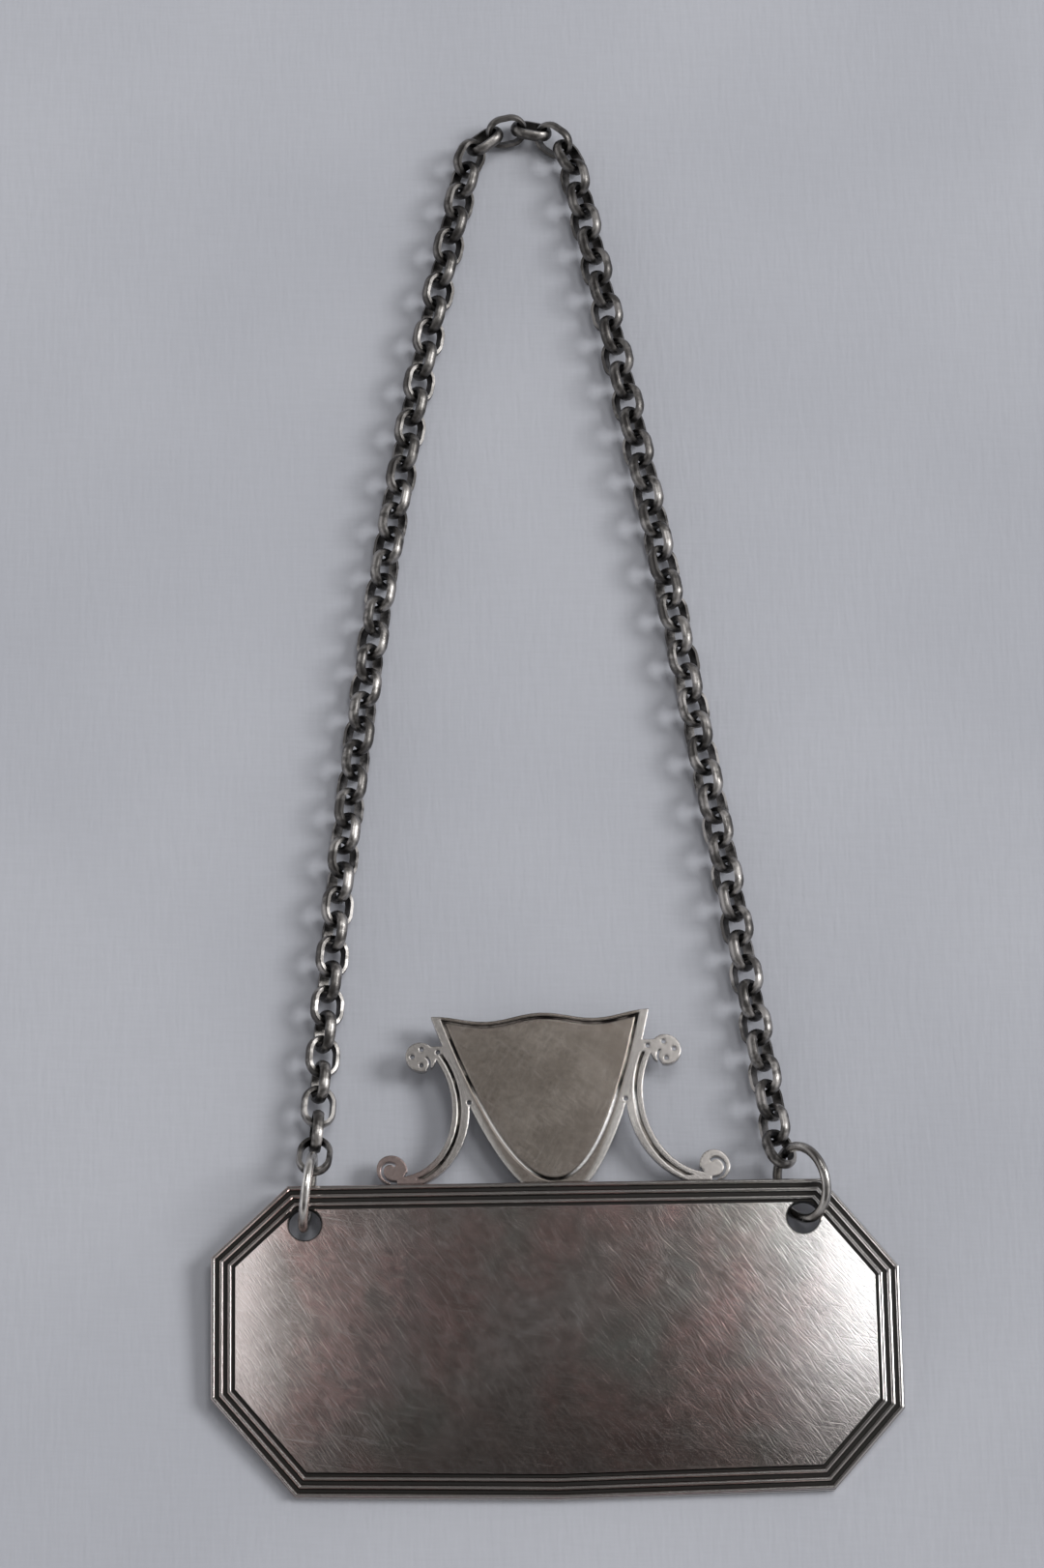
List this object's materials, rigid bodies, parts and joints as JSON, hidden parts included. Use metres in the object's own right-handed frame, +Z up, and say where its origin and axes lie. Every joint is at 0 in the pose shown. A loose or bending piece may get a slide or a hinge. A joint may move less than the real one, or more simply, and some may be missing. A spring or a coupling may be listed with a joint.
{
  "type": "wine label",
  "caption": "Cut-corner silver decanter label with a reeded border and a shield-and-scroll surmount, hung on rings from a belcher chain.",
  "frame": {"origin": "on the table, under the middle of the plate, as the label lies face up with its chain laid out beyond it", "axes": "+X to the right along the plate, +Y from the plate to the top of the chain, +Z up out of the plate's face"},
  "size_m": [0.05, 0.1103, 0.006],
  "materials": {
    "plate_silver": "worn polished silver, tarnished brown-grey in the field",
    "surmount_silver": "bright-cut silver, tarnished",
    "ring_silver": "bright drawn silver wire",
    "chain_silver": "half-round silver wire, blackened in the hollows"
  },
  "bodies": {
    "label": {"label_plate": "plate_silver", "surmount": "surmount_silver"},
    "left_ring": {"left_ring": "ring_silver"},
    "left_chain_1": {"left_links_01": "chain_silver", "left_links_02": "chain_silver", "left_links_03": "chain_silver"},
    "left_chain_2": {"left_links_04": "chain_silver", "left_links_05": "chain_silver", "left_links_06": "chain_silver"},
    "left_chain_3": {"left_links_07": "chain_silver", "left_links_08": "chain_silver", "left_links_09": "chain_silver"},
    "left_chain_4": {"left_links_10": "chain_silver", "left_links_11": "chain_silver", "left_links_12": "chain_silver"},
    "left_chain_5": {"left_links_13": "chain_silver", "left_links_14": "chain_silver", "left_links_15": "chain_silver"},
    "left_chain_6": {"left_links_16": "chain_silver", "left_links_17": "chain_silver", "left_links_18": "chain_silver"},
    "left_chain_7": {"left_links_19": "chain_silver", "left_links_20": "chain_silver", "left_links_21": "chain_silver"},
    "right_ring": {"right_ring": "ring_silver"},
    "right_chain_1": {"right_links_01": "chain_silver", "right_links_02": "chain_silver", "right_links_03": "chain_silver"},
    "right_chain_2": {"right_links_04": "chain_silver", "right_links_05": "chain_silver", "right_links_06": "chain_silver"},
    "right_chain_3": {"right_links_07": "chain_silver", "right_links_08": "chain_silver", "right_links_09": "chain_silver"},
    "right_chain_4": {"right_links_10": "chain_silver", "right_links_11": "chain_silver", "right_links_12": "chain_silver"},
    "right_chain_5": {"right_links_13": "chain_silver", "right_links_14": "chain_silver", "right_links_15": "chain_silver"},
    "right_chain_6": {"right_links_16": "chain_silver", "right_links_17": "chain_silver", "right_links_18": "chain_silver"},
    "right_chain_7": {"right_links_19": "chain_silver", "right_links_20": "chain_silver", "right_links_21": "chain_silver"},
    "chain_top": {"top_links_01": "chain_silver", "top_links_02": "chain_silver", "top_links_03": "chain_silver"}
  },
  "joints": [
    {"name": "left_ring_swing", "type": "hinge", "parent": "label", "child": "left_ring", "pos_m": [-0.01815, 0.00846, 0.00139], "axis": [1, 0, 0], "range_deg": [-45, 2]},
    {"name": "left_chain_1_swing", "type": "hinge", "parent": "left_ring", "child": "left_chain_1", "pos_m": [-0.01751, 0.013, 0.00213], "axis": [1, 0, 0], "range_deg": [-25, 20]},
    {"name": "left_chain_2_fold", "type": "hinge", "parent": "left_chain_1", "child": "left_chain_2", "pos_m": [-0.01659, 0.02421, 0.00122], "axis": [1, 0, 0], "range_deg": [-25, 25]},
    {"name": "left_chain_3_fold", "type": "hinge", "parent": "left_chain_2", "child": "left_chain_3", "pos_m": [-0.0154, 0.03585, 0.00121], "axis": [1, 0, 0], "range_deg": [-25, 25]},
    {"name": "left_chain_4_fold", "type": "hinge", "parent": "left_chain_3", "child": "left_chain_4", "pos_m": [-0.01393, 0.04749, 0.00121], "axis": [1, 0, 0], "range_deg": [-25, 25]},
    {"name": "left_chain_5_fold", "type": "hinge", "parent": "left_chain_4", "child": "left_chain_5", "pos_m": [-0.01219, 0.05913, 0.00121], "axis": [1, 0, 0], "range_deg": [-25, 25]},
    {"name": "left_chain_6_fold", "type": "hinge", "parent": "left_chain_5", "child": "left_chain_6", "pos_m": [-0.01018, 0.07077, 0.00121], "axis": [1, 0, 0], "range_deg": [-25, 25]},
    {"name": "left_chain_7_fold", "type": "hinge", "parent": "left_chain_6", "child": "left_chain_7", "pos_m": [-0.0079, 0.08241, 0.00121], "axis": [1, 0, 0], "range_deg": [-25, 25]},
    {"name": "right_ring_swing", "type": "hinge", "parent": "label", "child": "right_ring", "pos_m": [0.01815, 0.00846, 0.00139], "axis": [1, 0, 0], "range_deg": [-45, 2]},
    {"name": "right_chain_1_swing", "type": "hinge", "parent": "right_ring", "child": "right_chain_1", "pos_m": [0.0168, 0.01308, 0.00204], "axis": [1, 0, 0], "range_deg": [-25, 20]},
    {"name": "right_chain_2_fold", "type": "hinge", "parent": "right_chain_1", "child": "right_chain_2", "pos_m": [0.01502, 0.02421, 0.00122], "axis": [1, 0, 0], "range_deg": [-25, 25]},
    {"name": "right_chain_3_fold", "type": "hinge", "parent": "right_chain_2", "child": "right_chain_3", "pos_m": [0.01327, 0.03585, 0.00121], "axis": [1, 0, 0], "range_deg": [-25, 25]},
    {"name": "right_chain_4_fold", "type": "hinge", "parent": "right_chain_3", "child": "right_chain_4", "pos_m": [0.01142, 0.04749, 0.00121], "axis": [1, 0, 0], "range_deg": [-25, 25]},
    {"name": "right_chain_5_fold", "type": "hinge", "parent": "right_chain_4", "child": "right_chain_5", "pos_m": [0.00946, 0.05913, 0.00121], "axis": [1, 0, 0], "range_deg": [-25, 25]},
    {"name": "right_chain_6_fold", "type": "hinge", "parent": "right_chain_5", "child": "right_chain_6", "pos_m": [0.0074, 0.07077, 0.00121], "axis": [1, 0, 0], "range_deg": [-25, 25]},
    {"name": "right_chain_7_fold", "type": "hinge", "parent": "right_chain_6", "child": "right_chain_7", "pos_m": [0.00523, 0.08241, 0.00121], "axis": [1, 0, 0], "range_deg": [-25, 25]},
    {"name": "chain_top_fold", "type": "hinge", "parent": "left_chain_7", "child": "chain_top", "pos_m": [-0.00534, 0.09405, 0.00121], "axis": [1, 0, 0], "range_deg": [-10, 8]}
  ],
  "couplings": [
    {"joint": "right_ring_swing", "follows": "left_ring_swing", "ratio": 1},
    {"joint": "right_chain_1_swing", "follows": "left_chain_1_swing", "ratio": 1},
    {"joint": "right_chain_2_fold", "follows": "left_chain_2_fold", "ratio": 1},
    {"joint": "right_chain_3_fold", "follows": "left_chain_3_fold", "ratio": 1},
    {"joint": "right_chain_4_fold", "follows": "left_chain_4_fold", "ratio": 1},
    {"joint": "right_chain_5_fold", "follows": "left_chain_5_fold", "ratio": 1},
    {"joint": "right_chain_6_fold", "follows": "left_chain_6_fold", "ratio": 1},
    {"joint": "right_chain_7_fold", "follows": "left_chain_7_fold", "ratio": 1}
  ]
}
